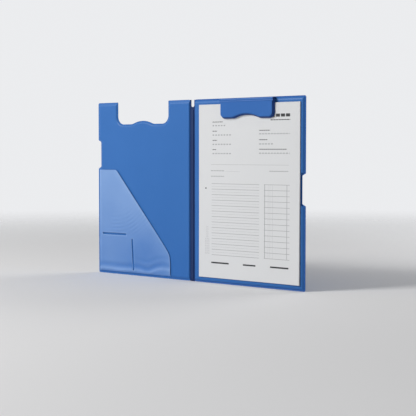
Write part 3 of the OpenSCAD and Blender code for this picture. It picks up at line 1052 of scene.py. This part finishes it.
# ---------------------------------------------------------------------------
# Clip: a thick flap of board in blue film, with bar magnets in it that pull it
# down on the forms. Its sides slope, and its lower edge has two lobes and an
# arch for a thumb. The sloped sides are painted in shade. A groove under its
# top marks the weld of the hinge strap.
# ---------------------------------------------------------------------------
CLIP_T = 5.7
CLIP_CLEAR = 0.3
CLIP_EDGE_W = 2.4
CLIP_RIM_W = 1.8
CLIP_TOP_R = 1.0
MAGNET_BED_W = 24.1
MAGNET_BED_PLAY = 0.05
MAGNET_BED_DEPTH = 3.45
FILM_CLIP = (0.021, 0.120, 0.405, 1)
FILM_CLIP_PALE = (0.027, 0.138, 0.445, 1)
# Painted shade for the clip's sloped sides and walls: a deeper copy of the clip's film.
FILM_SLOPE_SHADE = (0.019, 0.058, 0.225, 1)
FILM_SLOPE_SHADE_PALE = (0.023, 0.067, 0.250, 1)
clip_depth = form_front + CLIP_CLEAR
clip_front = clip_depth + CLIP_T
# The clip's third kind of side, after the free and the open ones, is its top.
TOP = SPINE
film_clip = film_material("film_on_clip", FILM_CLIP, FILM_CLIP_PALE, 0.38)
film_slope_shade = film_material("film_slope_painted_shade", FILM_SLOPE_SHADE, FILM_SLOPE_SHADE_PALE, 0.5, 0.08)
clip_corners = [
    *clip_edge_corners(CLIP_X, 0, FREE),
    (CLIP_X + CLIP_W / 2, clip_top_z, CLIP_TOP_R, TOP),
    (CLIP_X - CLIP_W / 2, clip_top_z, CLIP_TOP_R, FREE),
]
clip_skin_profile = [
    (0, 0, 0, clip_depth + 0.42), (0, 0, 0, clip_depth + 0.7), (0.25, 0, 0, clip_depth + 1.1),
    (1.9, 0, 0, clip_front - 1.25), (2.2, 0, 0.1, clip_front - 0.7), (2.6, 0, 0.4, clip_front - 0.3),
    (3.2, 0, 1.0, clip_front - 0.08), (4.0, 0, 1.8, clip_front), (4.6, 0, 2.4, clip_front),
]
clip_skin_inside = [
    (FILM_T, 0, FILM_T, clip_depth + 0.42), (2.5, 0, FILM_T, clip_front - 1.3),
    (3.4, 0, 1.4, clip_front - FILM_T),
]
# Out to CLIP_EDGE_W from the cut edge, the shell takes the painted-shade film.
clip_skin = panel_skin(
    "clip_front_film_shell", clip_corners, clip_skin_inside, clip_skin_profile, CLIP_EDGE_W,
    [film_clip, film_slope_shade], steps=8,
)
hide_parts("clip_front_film")
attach(clip_skin, "clip")

clip_back_profile = [
    (0, 0, 0, clip_depth + 0.36), (0.1, 0, 0.1, clip_depth + 0.12), (0.4, 0, 0.4, clip_depth),
    (1.6, 0, 1.6, clip_depth), (1.9, 0, 1.9, clip_depth + 0.1), (2.3, 0, 2.3, clip_depth),
]
clip_back_inside = [(0, 0, 0, clip_depth + FILM_T), (2, 0, 2, clip_depth + FILM_T)]
clip_back = panel_skin(
    "clip_rear_film_sheet", clip_corners, clip_back_inside, clip_back_profile, CLIP_RIM_W,
    [film_face, film_rim], steps=8,
)
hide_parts("clip_rear_film")
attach(clip_back, "clip")

core_profile = [
    (0.5, 0, 0.5, clip_depth + 0.43), (0.6, 0, 0.5, clip_depth + 1.2),
    (2.5, 0, 0.5, clip_front - 1.35), (3.5, 0, 1.5, clip_front - 0.45),
]
core = panel_skin("clip_core_board", clip_corners, [], core_profile, -1, [grey_board], steps=8)
builder = bmesh.new()
magnet_low, magnet_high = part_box("clip_magnets")
magnet_pitch = (CLIP_W - CLIP_CORNER_R) / 3
bed_z0 = magnet_low.z / MM - MAGNET_BED_PLAY
bed_z1 = magnet_high.z / MM + MAGNET_BED_PLAY
for k in (-1, 0, 1):
    x0 = CLIP_X + k * magnet_pitch - MAGNET_BED_W / 2
    x1 = CLIP_X + k * magnet_pitch + MAGNET_BED_W / 2
    add_slab(builder, x0, x1, bed_z0, bed_z1, clip_depth, clip_depth + MAGNET_BED_DEPTH)
cut_out(core, finish_mesh("magnet_beds", builder, []))
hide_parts("clip_core")
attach(core, "clip")
dress_node("clip_magnets", ferrite)

# ---------------------------------------------------------------------------
# Hinge strap: one more strip of the blue film, welded to the clip's face, laid
# over its top in a soft roll and carried back to the panel's rim, where its
# tail is welded down. Only the short bend behind the roll flexes.
# ---------------------------------------------------------------------------
STRAP_T = 0.5
STRAP_INSET = 0.6
STRAP_TOP_Z = clip_top_z + 0.8
LAP_PROUD = 0.62
ROLL_R = 2.1
ROLL_STEPS = 8
BEND_T = 0.36
BEND_INSET = 0.8
HINGE_Z = clip_top_z + 0.4


def strap_line():
    """The strap's outer line in section, as (depth, z): its lap on the clip's face, the weld
    groove, the roll over the top and the way back to the hinge."""
    lap = ((0.05, 6.0), (0.40, 5.7), (0.45, 5.1), (0.05, 4.5), (0.05, 3.9), (0.52, 3.3), (LAP_PROUD, 2.7))
    points = [(clip_front + proud, STRAP_TOP_Z - down) for proud, down in lap]
    roll_depth, roll_z = clip_front + LAP_PROUD - ROLL_R, STRAP_TOP_Z - ROLL_R
    for k in range(ROLL_STEPS + 1):
        angle = math.pi / 2 * k / ROLL_STEPS
        points.append((roll_depth + ROLL_R * math.cos(angle), roll_z + ROLL_R * math.sin(angle)))
    points += [(8.5, STRAP_TOP_Z + 0.05), (5.5, STRAP_TOP_Z + 0.05), (2.4, STRAP_TOP_Z)]
    return points


def section_bar(name, outer, thickness, x0, x1, material):
    """A film drawn along X from its outer line in section, and closed at both ends."""
    inner = []
    for i, (d, z) in enumerate(outer):
        d0, z0 = outer[max(0, i - 1)]
        d1, z1 = outer[min(len(outer) - 1, i + 1)]
        length = math.hypot(d1 - d0, z1 - z0)
        inner.append((d - (z1 - z0) / length * thickness, z + (d1 - d0) / length * thickness))
    loop = outer + inner[::-1]
    builder = bmesh.new()
    rows = [[builder.verts.new((x * MM, -d * MM, z * MM)) for d, z in loop] for x in (x0, x1)]
    join_rings(builder, rows[0], rows[1], 0)
    builder.faces.new(rows[0])
    builder.faces.new(rows[1])
    return finish_mesh(name, builder, [material])


strap_x0 = CLIP_X - CLIP_W / 2 + STRAP_INSET
strap_x1 = CLIP_X + CLIP_W / 2 - STRAP_INSET
strap = section_bar("clip_strap", strap_line(), STRAP_T, strap_x0, strap_x1, film_clip)
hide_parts("clip_hinge_strap")
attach(strap, "clip")
dress_node("clip_tail_film", film_rim)

bend_line = [
    (2.9, HINGE_Z + 0.35), (2.3, HINGE_Z + 0.38), (1.8, HINGE_Z + 0.3),
    (1.45, HINGE_Z + 0.05), (1.3, HINGE_Z - 0.4), (1.24, HINGE_Z - 1.0),
]
bend_x0 = CLIP_X - CLIP_W / 2 + BEND_INSET
bend_x1 = CLIP_X + CLIP_W / 2 - BEND_INSET
bend = section_bar("clip_bend_film", bend_line, BEND_T, bend_x0, bend_x1, film_rim)
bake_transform(bend)
